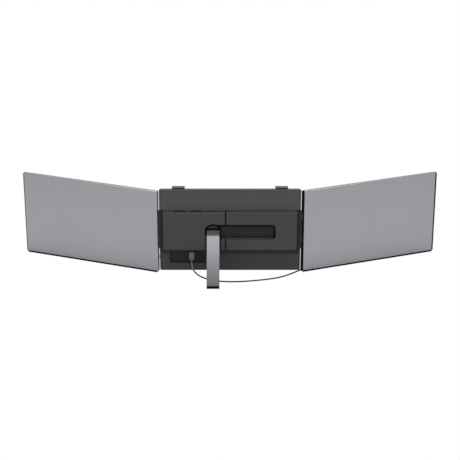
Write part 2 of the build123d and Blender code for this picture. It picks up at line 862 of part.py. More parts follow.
def stand_retainer():
    washer = upright(Pos(pivot_x, pivot_z) * Circle(8.0), -4.95, -4.0)
    return washer - upright(Pos(pivot_x, pivot_z) * Circle(1.6), -6, -3)


def stand_screw():
    screw = upright(Pos(pivot_x, pivot_z) * Circle(1.4), -8.4, -3.9)
    screw += upright(Pos(pivot_x, pivot_z) * Circle(2.8), -3.95, -2.4)
    return screw - block(pivot_x - 1.8, pivot_x + 1.8, -3.0, -2, pivot_z - 0.35, pivot_z + 0.35)


def stand_pin():
    section = Pos(leg_pin_y, pivot_z) * Circle(leg_pin_radius)
    return crosswise(section, pivot_x - leg_pin_half, pivot_x + leg_pin_half)


def opened(shape):
    """Turns a leg piece, drawn hanging from the pin, out to its open angle."""
    return Pos(pivot_x, leg_pin_y, pivot_z) * Rot(-leg_open, 0, 0) * shape


def stand_knuckle():
    half = leg_width / 2
    profile = Circle(knuckle_half)
    profile += Pos(0, -knuckle_length / 2) * Rectangle(2 * knuckle_half, knuckle_length)
    block_form = crosswise(profile, -half, half)
    return opened(block_form - crosswise(Circle(leg_pin_radius + 0.06), -half - 1, half + 1))


def stand_leg():
    length = pivot_z / cos(radians(leg_open)) - foot_length
    half = leg_width / 2
    leg = block(-half, half, -leg_thickness / 2, leg_thickness / 2, -length, -knuckle_length - 0.05)
    return opened(fillet(leg.edges().filter_by(Axis.Z), 1.2))


def stand_foot():
    """Rubber shoe, cut level with the table."""
    length = pivot_z / cos(radians(leg_open))
    half = leg_width / 2
    thick = leg_thickness / 2
    shoe = block(-half, half, -thick, thick, -length - 6, -length + foot_length - 0.05)
    shoe = opened(fillet(shoe.edges().filter_by(Axis.Z), 1.2))
    return shoe & block(-100, 100, -200, 0, 0, 50)


# ---- link cable ----


def gland_tip():
    """The point where the cable leaves the right screen, and the direction it leaves in."""
    axis_x, axis_y, gap = hinge_place("right")
    tilt = radians(fold_angle)
    across = -gland_reach - hinge_inset["right"]
    forward = gland_depth - gap
    tip = Vector(
        axis_x + across * cos(tilt) - forward * sin(tilt),
        axis_y + across * sin(tilt) + forward * cos(tilt),
        gland_height,
    )
    return tip, Vector(-cos(tilt), -sin(tilt), 0)


def cable_route():
    tip, way = gland_tip()
    return [
        Vector(usb_centres[0], port_y, plug_bottom - relief_length),
        Vector(usb_centres[0], port_y, 21.4),
        Vector(-82.2, -10.6, 10.8),
        Vector(-75.4, -16.4, 3.9),
        Vector(-63.5, -26.6, 1.8),
        Vector(-45.0, -41.0, 1.6),
        Vector(-18.0, -53.2, 1.6),
        Vector(18.0, -55.2, 1.6),
        Vector(55.0, -48.8, 1.6),
        Vector(88.0, -37.8, 1.6),
        Vector(113.0, -25.0, 1.6),
        Vector(130.5, -12.4, 2.6),
        tip + way * 13.5,
        tip,
    ]


def link_cable():
    points = cable_route()
    runs = [(b - a).length for a, b in zip(points, points[1:])]
    turns = [(b - a).get_angle(c - b) for a, b, c in zip(points, points[1:], points[2:])]
    radii = [
        0.45 * min(before, after) / tan(radians(turn) / 2)
        for before, after, turn in zip(runs, runs[1:], turns)
    ]
    print("cable runs", [round(run, 1) for run in runs])
    print("cable turns", [round(turn, 1) for turn in turns])
    print("cable radii", [round(radius, 1) for radius in radii])
    path = FilletPolyline(*points, radius=radii)
    start = Plane(origin=points[0], z_dir=points[1] - points[0])
    tube = sweep(start * Circle(cable_diameter / 2), path=path)
    section = pi * cable_diameter**2 / 4
    print("cable length", round(path.length, 1))
    print("cable volume ratio", round(tube.volume / section / path.length, 4))
    return tube


def plug_body():
    """Moulded plug grip with its short strain relief."""
    x = usb_centres[0]
    grip = standing(Pos(x, port_y) * RectangleRounded(12.0, 6.6, 2.6), plug_bottom, plug_top)
    grip = chamfer(grip.faces().sort_by(Axis.Z)[0].edges(), 0.7)
    relief = Pos(x, port_y, plug_bottom - relief_length / 2) * Cone(*relief_radii, relief_length)
    return grip + relief


def plug_shell():
    x = usb_centres[0]
    tip_z = plug_top + 7.0
    outer = standing(Pos(x, port_y) * RectangleRounded(8.2, 2.5, 1.2), plug_top, tip_z)
    return outer - block(x - 2.9, x + 2.9, port_y - 0.75, port_y + 0.75, plug_top + 1.6, tip_z + 1)


os.makedirs("parts", exist_ok=True)

screens()
for side in ("left", "right"):
    sign = -1 if side == "left" else 1
    brackets = hinge_brackets(side)
    pins = hinge_pins(side)
    cheek = hinge_cover()
    if side == "left":
        brackets = [mirrored(bracket) for bracket in brackets]
        pins = [mirrored(pin) for pin in pins]
        cheek = mirrored(cheek)
    write(f"{side}_hinge_brackets", *brackets)
    write(f"{side}_hinge_pins", *pins)
    write(f"{side}_hinge_cover", cheek)
    write(f"{side}_rear_shell", left_rear_shell() if side == "left" else rear_shell("right"))
    write(f"{side}_front_cover", front_cover(side))
    write(f"{side}_housing_screws", *housing_screws(side))
    write(f"{side}_front_pads", *front_pads(side))
    write(f"{side}_clip", clip(sign))
    write(f"{side}_clip_pad", clip_pad(sign))
    write(f"{side}_clip_spring", clip_spring(sign))

write("slide_rails", *slide_rails())
write("rail_guides", *rail_guides())
write("rail_clamps", *rail_clamps())
write("port_bay_liner", port_bay_liner())
write("main_board", main_board())
write("key_board", key_board())
write("led_light_pipes", *led_light_pipes())
write("usb_c_receptacles", *[socket(x, 8.94, 3.26, 1.6) for x in usb_centres])
write("mini_hdmi_receptacle", socket(hdmi_centre, 11.2, 3.26, 0.6))
write("flex_cable_guide", flex_cable_guide())
for name, key in zip(("outer_rocker_key", "inner_rocker_key"), rockers()):
    write(name, key)

write("stand_disc", stand_disc())
write("stand_bush", stand_bush())
write("stand_retainer", stand_retainer())
write("stand_screw", stand_screw())
write("stand_pin", stand_pin())
write("stand_knuckle", stand_knuckle())
write("stand_leg", stand_leg())
write("stand_foot", stand_foot())

write("link_cable", link_cable())
write("usb_plug_body", plug_body())
write("usb_plug_shell", plug_shell())

for side in ("left", "right"):
    print(side, "hinge axis", [round(value, 4) for value in hinge_place(side)])
print("frame shift", round(set_down(Box(1, 1, 1)).center().Y, 4))
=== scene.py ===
import json
import math
import bpy
import numpy as np
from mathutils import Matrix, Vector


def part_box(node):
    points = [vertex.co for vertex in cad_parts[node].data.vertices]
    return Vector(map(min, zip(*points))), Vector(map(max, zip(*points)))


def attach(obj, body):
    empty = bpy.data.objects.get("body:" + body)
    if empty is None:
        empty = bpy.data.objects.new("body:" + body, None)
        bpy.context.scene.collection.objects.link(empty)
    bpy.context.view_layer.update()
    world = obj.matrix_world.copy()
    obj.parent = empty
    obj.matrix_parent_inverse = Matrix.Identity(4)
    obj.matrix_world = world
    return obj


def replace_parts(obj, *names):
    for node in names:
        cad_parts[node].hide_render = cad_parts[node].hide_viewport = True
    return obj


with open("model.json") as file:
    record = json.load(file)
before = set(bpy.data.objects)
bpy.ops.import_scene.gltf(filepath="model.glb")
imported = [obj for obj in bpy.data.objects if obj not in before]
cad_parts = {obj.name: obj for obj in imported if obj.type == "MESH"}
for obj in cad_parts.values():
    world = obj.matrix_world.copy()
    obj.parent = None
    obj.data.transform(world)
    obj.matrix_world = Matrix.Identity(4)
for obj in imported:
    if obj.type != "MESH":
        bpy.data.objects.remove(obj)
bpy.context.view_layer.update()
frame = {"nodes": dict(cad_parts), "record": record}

print("frame loaded:", len(frame["nodes"]), "nodes")

mm = 0.001
scene = bpy.context.scene


def span(node):
    low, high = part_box(node)
    return np.array(low), np.array(high)


def meshPoints(node):
    # the points of a CAD node's mesh, one to a row
    vertices = frame["nodes"][node].data.vertices
    places = np.empty(3 * len(vertices))
    vertices.foreach_get("co", places)
    return places.reshape(-1, 3)


centreDepth = 6.0 * mm   # the two halves of the centre, without the raised housing
boardBack = span("left_front_cover")[1][1] - centreDepth

view = dict(elevation=23.0, distance=3.329, height=0.1031, lens=118.64, sensor=36.0, farthest=50.0)


def makeCamera():
    tilt = math.radians(view["elevation"])
    data = bpy.data.cameras.new("camera")
    data.lens = view["lens"]
    data.sensor_width = view["sensor"]
    data.clip_end = view["farthest"]
    camera = bpy.data.objects.new("camera", data)
    camera.location = (
        0.0,
        boardBack - view["distance"] * math.cos(tilt),
        view["height"] + view["distance"] * math.sin(tilt),
    )
    camera.rotation_euler = (math.radians(90.0) - tilt, 0.0, 0.0)
    scene.collection.objects.link(camera)
    scene.camera = camera


makeCamera()

cable = dict(diameter=3.0 * mm, length=0.287, order=3, steps=12, roundness=8)

# millimetres, with y counted from the back face of the boards: out of the plug, down to the table, round
# the leg's foot in one arc and up to the right screen
cableRoute = [
    (-84.4, -8.2, 32.3),
    (-84.4, -8.2, 21.4),
    (-81.3, -10.6, 11.2),
    (-74.2, -15.6, 4.3),
    (-63.5, -26.6, 1.8),
    (-45.0, -41.0, 1.6),
    (-18.0, -50.4, 1.6),
    (18.0, -51.0, 1.6),
    (55.0, -45.2, 1.6),
    (88.0, -36.6, 1.6),
    (113.0, -26.6, 1.6),
    (131.0, -15.4, 2.9),
    (144.6, -5.2, 3.8),
    (155.8, 4.99, 4.4),
]


def makeCable():
    points = [(x * mm, boardBack + y * mm, z * mm) for x, y, z in cableRoute]
    data = bpy.data.curves.new("link_cable_run", "CURVE")
    data.dimensions = "3D"
    spline = data.splines.new("NURBS")
    spline.points.add(len(points) - 1)
    for point, place in zip(spline.points, points):
        point.co = (*place, 1.0)
        point.radius = cable["diameter"] / 2
    spline.order_u = cable["order"]
    spline.use_endpoint_u = True
    spline.resolution_u = cable["steps"]
    data.bevel_depth = 1.0   # so that each point's radius is the real one
    data.bevel_resolution = cable["roundness"]
    run = bpy.data.objects.new("link_cable_run", data)
    scene.collection.objects.link(run)
    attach(run, "left_half")
    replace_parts(run, "link_cable")
    return run


cableRun = makeCable()
print("camera and cable made")


class Socket:
    # a node socket that takes part in plain sums

    def __init__(self, shader, socket):
        self.shader = shader
        self.socket = socket

    def math(self, operation, *others, swap=False):
        values = [self, *others]
        if swap:
            values.reverse()
        return self.shader.node("ShaderNodeMath", dict(operation=operation), dict(enumerate(values)))

    def __add__(self, other):
        return self.math("ADD", other)

    def __radd__(self, other):
        return self.math("ADD", other, swap=True)

    def __sub__(self, other):
        return self.math("SUBTRACT", other)

    def __rsub__(self, other):
        return self.math("SUBTRACT", other, swap=True)

    def __mul__(self, other):
        return self.math("MULTIPLY", other)

    def __rmul__(self, other):
        return self.math("MULTIPLY", other, swap=True)

    def above(self, edge, soft):
        # 0 below the edge and 1 above it, with a soft step between
        ramp = dict(interpolation_type="SMOOTHSTEP")
        return self.shader.node("ShaderNodeMapRange", ramp, {0: self, 1: edge - soft, 2: edge + soft})

    def profile(self, stops):
        # straight lines from one pair to the next, each a place in millimetres and a value, and level
        # before the first and after the last
        total = stops[0][1]
        for (start, first), (end, second) in zip(stops, stops[1:]):
            values = {0: self, 1: start * mm, 2: end * mm, 3: 0.0, 4: second - first}
            total = total + self.shader.node("ShaderNodeMapRange", None, values)
        return total


class Shader:
    # a material's nodes, with one method that makes any of them

    def __init__(self, name):
        self.material = bpy.data.materials.new(name)
        self.material.use_nodes = True
        self.tree = self.material.node_tree
        self.surface = self.tree.nodes["Principled BSDF"]
        self.place = self.node("ShaderNodeTexCoord", output="Object")
        self.x, self.y, self.z = (
            self.node("ShaderNodeSeparateXYZ", None, {0: self.place}, output=axis) for axis in "XYZ"
        )

    def node(self, kind, settings=None, values=None, output=0):
        made = self.tree.nodes.new(kind)
        for name, value in (settings or {}).items():
            setattr(made, name, value)
        for key, value in (values or {}).items():
            self.put(made.inputs[key], value)
        return Socket(self, made.outputs[output])

    def put(self, target, value):
        if isinstance(value, Socket):
            self.tree.links.new(value.socket, target)
        else:
            target.default_value = value

    def set(self, **values):
        for name, value in values.items():
            self.put(self.surface.inputs[name.replace("_", " ")], value)

    def noise(self, scale, detail, roughness, place=None):
        values = {"Vector": place or self.place, "Scale": scale, "Detail": detail, "Roughness": roughness}
        return self.node("ShaderNodeTexNoise", None, values)

    def mix(self, factor, first, second):
        # by number, because the node's sockets for numbers and for colours have the same names
        colours = dict(data_type="RGBA")
        return self.node("ShaderNodeMix", colours, {0: factor, 6: first, 7: second}, output=2)

    def pick(self, factor, first, second):
        # the first value where the factor is 0 and the second where it is 1
        return first + (second - first) * factor

    def toned(self, colour, tone):
        # a colour times a tone that varies over the surface
        return self.node("ShaderNodeVectorMath", dict(operation="SCALE"), {0: colour[:3], "Scale": tone})

    def bump(self, height, strength, distance):
        values = {"Strength": strength, "Distance": distance, "Height": height}
        return self.node("ShaderNodeBump", None, values)


def shade(level, blueness=0.0):
    # a grey given on a display's scale of 255, as a scene colour by the standard display curve
    def linear(value):
        value = value / 255.0
        return value / 12.92 if value <= 0.04045 else ((value + 0.055) / 1.055) ** 2.4

    return (linear(level), linear(level), linear(level + blueness), 1.0)


blasted = dict(
    grain=0.35,
    cloud=9.0,
    mottle=0.05,
    blueness=5,
    metal=0.85,
    sheen=0.12,
    relief=0.5,
    depth=0.012,
)


def blastedMetal(name, level, tone, rough=0.42):
    # anodised aluminium: a fine blasted grain, with cloudy changes of tone and sheen
    m = Shader(name)
    fine = m.noise(1.0 / (blasted["grain"] * mm), detail=3.0, roughness=0.6)
    cloud = m.noise(blasted["cloud"], detail=3.0, roughness=0.5)
    mottle = blasted["mottle"]
    variation = 1.0 - mottle + fine * mottle + cloud * mottle
    m.set(
        Base_Color=m.toned(shade(level, blasted["blueness"]), variation * tone(m)),
        Metallic=blasted["metal"],
        Roughness=rough - blasted["sheen"] / 2 + fine * blasted["sheen"],
        Normal=m.bump(fine, blasted["relief"], blasted["depth"] * mm),
    )
    return m.material


moulded = dict(
    smooth=0.6,
    fineness=2.2,
    handling=14.0,
    pitTone=0.12,
    handledTone=0.1,
    leastRough=-0.05,
    fineRough=0.06,
    handledRough=0.08,
    pitShare=0.7,
    relief=0.6,
)


def mouldedPlastic(name, level, rough=0.55, grain=0.5, depth=0.03, gloss=0.4, tone=None):
    # spark-textured moulding: rounded pits with a finer grit, and patches of tone and sheen from handling
    m = Shader(name)
    cells = dict(feature="SMOOTH_F1")
    values = {"Vector": m.place, "Scale": 1.0 / (grain * mm), "Smoothness": moulded["smooth"]}
    pits = m.node("ShaderNodeTexVoronoi", cells, values)
    fine = m.noise(moulded["fineness"] / (grain * mm), detail=3.0, roughness=0.6)
    handled = m.noise(moulded["handling"], detail=4.0, roughness=0.6)
    variation = 1.0 - moulded["handledTone"] + pits * moulded["pitTone"] + handled * moulded["handledTone"]
    if tone:
        variation = variation * tone(m)
    sheen = fine * moulded["fineRough"] + handled * moulded["handledRough"]
    share = moulded["pitShare"]
    m.set(
        Base_Color=m.toned(shade(level), variation),
        Roughness=rough + moulded["leastRough"] + sheen,
        Normal=m.bump(pits * share + fine * (1.0 - share), moulded["relief"], depth * mm),
        Specular_IOR_Level=gloss,
    )
    return m.material


polished = dict(film=30.0, ripple=420.0, filmTone=0.1, smear=0.08, relief=0.15, depth=0.01)


def polishedPlastic(name, level, rough=0.12, gloss=0.5):
    # a glossy moulding with a film of handling and a faint ripple
    m = Shader(name)
    film = m.noise(polished["film"], detail=4.0, roughness=0.6)
    ripple = m.noise(polished["ripple"], detail=2.0, roughness=0.5)
    variation = 1.0 - polished["filmTone"] / 2 + film * polished["filmTone"]
    m.set(
        Base_Color=m.toned(shade(level), variation),
        Roughness=rough + film * polished["smear"],
        Normal=m.bump(ripple, polished["relief"], polished["depth"] * mm),
        Specular_IOR_Level=gloss,
    )
    return m.material


rubber = dict(dust=160.0, grit=2600.0, dustTone=0.3, dustRough=0.1, relief=0.5, depth=0.03)


def softRubber(name, level, rough=0.8, gloss=0.25, tone=None):
    # a dull skin with a fine grit, greyer and rougher where dust lies
    m = Shader(name)
    dust = m.noise(rubber["dust"], detail=5.0, roughness=0.65)
    grit = m.noise(rubber["grit"], detail=2.0, roughness=0.5)
    variation = 1.0 - rubber["dustTone"] / 2 + dust * rubber["dustTone"]
    if tone:
        variation = variation * tone(m)
    m.set(
        Base_Color=m.toned(shade(level), variation),
        Roughness=rough + dust * rubber["dustRough"],
        Normal=m.bump(grit, rubber["relief"], rubber["depth"] * mm),
        Specular_IOR_Level=gloss,
    )
    return m.material


drawn = dict(lines=2600.0, stretch=(1.0, 1.0, 0.06), lineTone=0.2, sheen=0.16, relief=0.4, depth=0.01)


def drawnMetal(name, level, metal=1.0, rough=0.3):
    # drawn or rolled metal: fine lines along the length
    m = Shader(name)
    place = m.node("ShaderNodeMapping", None, {"Vector": m.place, "Scale": drawn["stretch"]})
    lines = m.noise(drawn["lines"], detail=3.0, roughness=0.6, place=place)
    m.set(
        Base_Color=m.toned(shade(level), 1.0 - drawn["lineTone"] / 2 + lines * drawn["lineTone"]),
        Metallic=metal,
        Roughness=rough - drawn["sheen"] / 2 + lines * drawn["sheen"],
        Normal=m.bump(lines, drawn["relief"], drawn["depth"] * mm),
    )
    return m.material


board = dict(
    tracks=260.0,
    trackWidth=0.03,
    mask=(0.004, 0.03, 0.012, 1.0),
    copper=(0.02, 0.09, 0.04, 1.0),
    rough=0.35,
    relief=0.4,
    depth=0.05,
)


def circuitBoard(name):
    # solder mask with a network of tracks under it
    m = Shader(name)
    values = {
        "Vector": m.place,
        "Scale": board["tracks"],
        "Mortar Size": board["trackWidth"],
        "Color1": (0.0, 0.0, 0.0, 1.0),
        "Color2": (0.25, 0.25, 0.25, 1.0),
        "Mortar": (1.0, 1.0, 1.0, 1.0),
    }
    tracks = m.node("ShaderNodeTexBrick", dict(offset=0.5), values)
    m.set(
        Base_Color=m.mix(tracks, board["mask"], board["copper"]),
        Roughness=board["rough"],
        Normal=m.bump(tracks, board["relief"], board["depth"] * mm),
    )
    return m.material


display = dict(
    grain=5200.0,
    tint=6.0,
    dark=(0.0035, 0.0037, 0.0045, 1.0),
    light=(0.0055, 0.0055, 0.0062, 1.0),
    rough=0.2,
    haze=0.12,
    relief=0.35,
    depth=0.006,
    gloss=0.5,
    coat=0.3,
    coatRough=0.25,
)


def displayGlass(name):
    # switched-off panel behind an anti-glare surface
    m = Shader(name)
    grain = m.noise(display["grain"], detail=2.0, roughness=0.5)
    tint = m.noise(display["tint"], detail=2.0, roughness=0.5)
    m.set(
        Base_Color=m.mix(tint, display["dark"], display["light"]),
        Roughness=display["rough"] + grain * display["haze"],
        Normal=m.bump(grain, display["relief"], display["depth"] * mm),
        Specular_IOR_Level=display["gloss"],
        Coat_Weight=display["coat"],
        Coat_Roughness=display["coatRough"],
    )
    return m.material


guide = dict(
    flow=90.0,
    clear=(0.72, 0.73, 0.72, 1.0),
    milky=(0.82, 0.83, 0.80, 1.0),
    rough=0.25,
    haze=0.1,
    relief=0.2,
    depth=0.02,
    glow=0.2,
)


def clearMoulding(name):
    # pale acrylic with the marks of its flow into the mould
    m = Shader(name)
    flow = m.noise(guide["flow"], detail=3.0, roughness=0.5)
    m.set(
        Base_Color=m.mix(flow, guide["clear"], guide["milky"]),
        Roughness=guide["rough"] + flow * guide["haze"],
        Normal=m.bump(flow, guide["relief"], guide["depth"] * mm),
        Subsurface_Weight=guide["glow"],
    )
    return m.material


def between(value, low, high, soft=0.05):
    # 1 from low to high and 0 elsewhere, in millimetres
    return value.above(low * mm, soft * mm) * (1.0 - value.above(high * mm, soft * mm))


def step(value, edge, tone, soft):
    # 1 before the edge and the tone after it, in millimetres
    return 1.0 + value.above(edge * mm, soft * mm) * (tone - 1.0)


def band(value, middle, half, tone, soft):
    # the tone within half a width of the middle and 1 elsewhere, in millimetres
    return 1.0 + between(value, middle - half, middle + half, soft) * (tone - 1.0)


# Each tone below paints light or shade onto a finish as a share of its own colour, and a list of tones
# holds pairs of a place in millimetres and a tone. Depths count from the back face of the boards, and are
# negative outside it.
shell = dict(
    # painted shadow on the flat board under the housing, and painted light on it above the housing
    boardShadow=[(14.0, 0.98), (44.0, 0.88), (50.0, 0.56), (62.0, 0.45)],
    boardLight=[(100.0, 1.2), (150.0, 1.7), (160.0, 1.5), (178.0, 1.35), (190.0, 1.3)],
    boardDepth=-0.8,
    # the housing's top face painted darker, as shade cast by the board above it
    top=dict(edge=150.0, tone=0.5, soft=0.1),
    # painted shade in the recess: its floor dark along its edges and at its end, its walls dark and darker
    # towards the mouth, save the lower wall, which is painted light
    recessLow=(-56.5, -17.05, 87.8),
    recessHigh=(100.0, -7.4, 122.6),
    floorDepth=-8.1,
    floor=[(89.0, 0.04), (90.4, 0.34), (92.0, 0.44), (113.0, 0.4), (115.5, 0.08)],
    floorEnd=[(94.5, 1.0), (96.8, 0.08)],
    wall=[(88.4, 2.6), (88.8, 0.1)],
    wallDepth=[(-15.0, 0.15), (-12.0, 0.45), (-10.0, 1.0)],
    depthSoft=0.2,
    # a painted dark groove where the halves meet on the housing, a painted highlight along the same line
    # on the flat board, and a painted shadow beside the leg
    groove=dict(middle=-9.4, half=1.9, tone=0.3, soft=0.5),
    seamHighlight=dict(middle=-9.4, half=0.8, tone=1.18, soft=0.5),
    legShade=dict(middle=-36.9, half=17.0, tone=0.12, soft=1.2),
    legShadeTop=dict(edge=97.0 * mm, soft=3.0 * mm),
)


def shellPaintedShading(m):
    # painted light and shade: a painted shadow on the flat board under the housing and painted light above
    # it, the housing's top painted dark, the recess painted dark along its edges and at its end, a painted
    # shadow beside the leg, and a painted dark line and highlight where the halves meet
    depth = m.y - boardBack
    soft = shell["depthSoft"] * mm
    corners = zip((m.x, depth, m.z), shell["recessLow"], shell["recessHigh"])
    inX, inDepth, inZ = (between(value, low, high) for value, low, high in corners)
    floor = m.z.profile(shell["floor"]) * m.x.profile(shell["floorEnd"])
    wall = m.z.profile(shell["wall"]) * depth.profile(shell["wallDepth"])
    recess = m.pick(depth.above(shell["floorDepth"] * mm, soft), wall, floor)
    housing = step(m.z, **shell["top"]) * band(m.x, **shell["groove"])
    flat = m.z.profile(shell["boardShadow"] + shell["boardLight"]) * band(m.x, **shell["seamHighlight"])
    beside = m.pick(m.z.above(**shell["legShadeTop"]), band(m.x, **shell["legShade"]), 1.0)
    raised = m.pick(inX * inDepth * inZ, housing, recess) * beside
    return m.pick(depth.above(shell["boardDepth"] * mm, soft), raised, flat)


disc = dict(
    pivot=(-36.9, 105.3),
    # painted shade: a dark ring at the rim, and near black below the slot's top
    rim=[(14.4, 1.0), (15.4, 0.25)],
    slot=[(111.0, 0.03), (113.9, 0.03), (114.9, 1.0)],
)


def discPaintedShade(m):
    # painted shade: the disc's rim painted dark as a shaded gap round it, and the disc below the slot's
    # top painted near black as the shade in the slot over the knuckle
    across, up = (value - middle * mm for value, middle in zip((m.x, m.z), disc["pivot"]))
    radius = (across * across + up * up).math("SQRT")
    return radius.profile(disc["rim"]) * m.z.profile(disc["slot"])


screen = dict(
    turn=20.75,   # degrees from the centre's plane, at rest
    # painted shade at the foot and at the outer edge, and the top edge's highlight painted duller
    height=[(2.3, 0.05), (2.7, 0.96), (14.0, 1.0), (188.6, 1.0), (189.6, 0.6), (191.0, 0.45)],
    outer=dict(left=[(-4.0, 1.0), (-3.4, 0.38)], right=[(-4.9, 1.0), (-4.4, 0.03)]),
)


def screenPaintedShade(side):
    # painted shade: dark along the lower and outer edges, and the top edge's highlight painted duller
    places = meshPoints(f"{side}_screen_back_cover")
    turn = math.radians(screen["turn"])
    across, away = (-math.cos(turn) if side == "left" else math.cos(turn)), math.sin(turn)
    edge = float((places[:, 0] * across + places[:, 1] * away).max())
    low = float(places[:, 2].min())

    def tone(m):
        outward = m.x * across + m.y * away - edge
        return (m.z - low).profile(screen["height"]) * outward.profile(screen["outer"][side])

    return tone


# painted shade at the foot and painted light at the top
knuckle = dict(foot=[(1.0, 0.25), (1.9, 1.0)], top=[(106.0, 0.88), (109.0, 2.0)])


def knucklePaintedShading(m):
    # painted shade as a dark line where it meets the leg, and painted light where its back curves away
    low = float(span("stand_knuckle")[0][2])
    return (m.z - low).profile(knuckle["foot"]) * m.z.profile(knuckle["top"])


# painted light on the clip's top
clip = dict(edge=202.1, tone=3.4, soft=0.1)


def clipPaintedLight(m):
    # painted light on top
    return step(m.z, **clip)


# painted light and shade by height alone: the leg is painted bright where it leaves the disc and dull at
# its foot, the cable is painted darkest on the table and much lighter above it, and the plug has a painted
# shadow where it goes up under the housing
paintedShadingByHeight = dict(
    leg=[(2.0, 0.42), (38.0, 0.74), (60.0, 0.945), (66.0, 1.02), (75.0, 1.1), (90.0, 1.22)],
    cable=[(3.0, 1.0), (8.0, 5.0), (12.0, 40.0), (20.0, 55.0)],
    plug=[(53.2, 1.0), (54.6, 0.08)],
)


def heightPaintedShading(piece):
    return lambda m: m.z.profile(paintedShadingByHeight[piece])


finishMakers = dict(
    left_anodised_grey=(blastedMetal, dict(level=202, tone=screenPaintedShade("left"))),
    right_anodised_grey=(blastedMetal, dict(level=202, tone=screenPaintedShade("right"))),
    stand_metal=(blastedMetal, dict(level=166, rough=0.36, tone=heightPaintedShading("leg"))),
    housing_plastic=(mouldedPlastic, dict(level=80, gloss=0.15, tone=shellPaintedShading)),
    front_plastic=(mouldedPlastic, dict(level=74, gloss=0.15)),
    clip_plastic=(mouldedPlastic, dict(level=42, gloss=0.2, tone=clipPaintedLight)),
    # the disc's level is lowered as painted shade, and the knuckle's is raised as painted light
    disc_plastic=(mouldedPlastic, dict(level=54, gloss=0.1, tone=discPaintedShade)),
    knuckle_plastic=(mouldedPlastic, dict(level=96, gloss=0.2, tone=knucklePaintedShading)),
    dark_plastic=(mouldedPlastic, dict(level=30, rough=0.5, grain=0.35)),
    spine_plastic=(mouldedPlastic, dict(level=10, rough=0.5, grain=0.35, gloss=0.1)),
    key_plastic=(mouldedPlastic, dict(level=12, gloss=0.05)),
    acetal=(mouldedPlastic, dict(level=215, rough=0.4, grain=0.8, depth=0.01)),
    plug_grip=(mouldedPlastic, dict(level=114, rough=0.5, grain=0.3, tone=heightPaintedShading("plug"))),
    gloss_black=(polishedPlastic, dict(level=16)),
    # near black: painted shade for the indicator windows
    smoked_lens=(polishedPlastic, dict(level=3, rough=0.55, gloss=0.0)),
    soft_rubber=(softRubber, dict(level=22)),
    foot_rubber=(softRubber, dict(level=6, gloss=0.1)),
    cable_jacket=(softRubber, dict(level=14, rough=0.6, gloss=0.1, tone=heightPaintedShading("cable"))),
    steel=(drawnMetal, dict(level=180)),
    black_steel=(drawnMetal, dict(level=34, metal=0.6, rough=0.42)),
    nickel=(drawnMetal, dict(level=190, rough=0.22)),
    circuit_board=(circuitBoard, {}),
    display_glass=(displayGlass, {}),
    light_guide=(clearMoulding, {}),
)
finishes = {name: make(name, **values) for name, (make, values) in finishMakers.items()}

# nodes whose finish differs from the others of their slot
ownFinish = dict(
    outer_rocker_key="key_plastic",
    inner_rocker_key="key_plastic",
    stand_disc="disc_plastic",
    stand_knuckle="knuckle_plastic",
    stand_foot="foot_rubber",
)
for side in ("left", "right"):
    ownFinish[f"{side}_front_cover"] = "front_plastic"
    ownFinish[f"{side}_clip"] = "clip_plastic"
    ownFinish[f"{side}_screen_back_cover"] = f"{side}_anodised_grey"
    ownFinish[f"{side}_screen_foot_strip"] = "foot_rubber"
    ownFinish[f"{side}_screen_hinge_spine"] = "spine_plastic"


def paintNodes():
    for part in frame["record"]["subparts"]:
        node = frame["nodes"][part["node"]]
        node.data.materials.clear()
        node.data.materials.append(finishes[ownFinish.get(part["node"], part["material_slot"])])
    cableRun.data.materials.append(finishes["cable_jacket"])


paintNodes()
print("finishes made:", len(finishes))


def closedRows(first, rows, last):
    # a closed skin: rings of points from one pole to the other, with its faces turned outward
    count, spokes, _ = rows.shape
    points = np.vstack([[first], rows.reshape(-1, 3), [last]])
    here = np.arange(spokes)
    after = np.roll(here, -1)
    end = len(points) - 1
    caps = [np.stack([np.zeros(spokes, int), 1 + here, 1 + after], 1)]
    caps.append(np.stack([np.full(spokes, end), end - spokes + after, end - spokes + here], 1))
    start = 1 + spokes * np.arange(count - 1)[:, None]
    corners = [start + here, start + spokes + here, start + spokes + after, start + after]
    quads = np.stack(corners, 2).reshape(-1, 4)
    halves = np.vstack([quads[:, [0, 1, 2]], quads[:, [0, 2, 3]], *caps])
    a, b, c = (points[halves[:, k]] - points.mean(0) for k in range(3))
    inward = np.einsum("ij,ij->i", a, np.cross(b, c)).sum() < 0   # six times the volume, by its sign
    faces = [*quads.tolist(), *caps[0].tolist(), *caps[1].tolist()]
    return points, [face[::-1] for face in faces] if inward else faces


sharpEdge = 35.0   # degrees


def makePiece(name, skins, body, slot):
    # one mesh of several closed skins, riding on a body
    points, faces, offset = [], [], 0
    for places, sides in skins:
        points.extend(places.tolist())
        faces.extend([k + offset for k in face] for face in sides)
        offset += len(places)
    data = bpy.data.meshes.new(name)
    data.from_pydata(points, [], faces)
    data.shade_smooth()
    data.set_sharp_from_angle(angle=math.radians(sharpEdge))
    data.materials.append(finishes[slot])
    piece = bpy.data.objects.new(name, data)
    scene.collection.objects.link(piece)
    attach(piece, body)
    return piece


# millimetres, but the recess's arm, reach and edge and the lower rings' rim, shank and tip are shares of
# the head's radius
screw = dict(
    head=0.85,
    dome=0.28,
    depth=0.5,
    arm=0.2,
    reach=0.6,
    edge=0.08,
    chamfer=0.1,
    rim=0.95,
    shank=0.5,
    tip=0.35,
    tipHeight=0.4,
    spacing=4.5,
    rings=16,
    spokes=64,
)


def screwSpots(node):
    # the axis, the ends and the head's radius of each screw in a CAD node
    places = meshPoints(node)
    spots = []
    while len(places):
        near = np.hypot(*(places - places[0])[:, [0, 2]].T) < screw["spacing"] * mm
        own, places = places[near], places[~near]
        low, high = own.min(0), own.max(0)
        spots.append(((low + high) / 2, low[1], high[1], (high[0] - low[0]) / 2))
    return spots


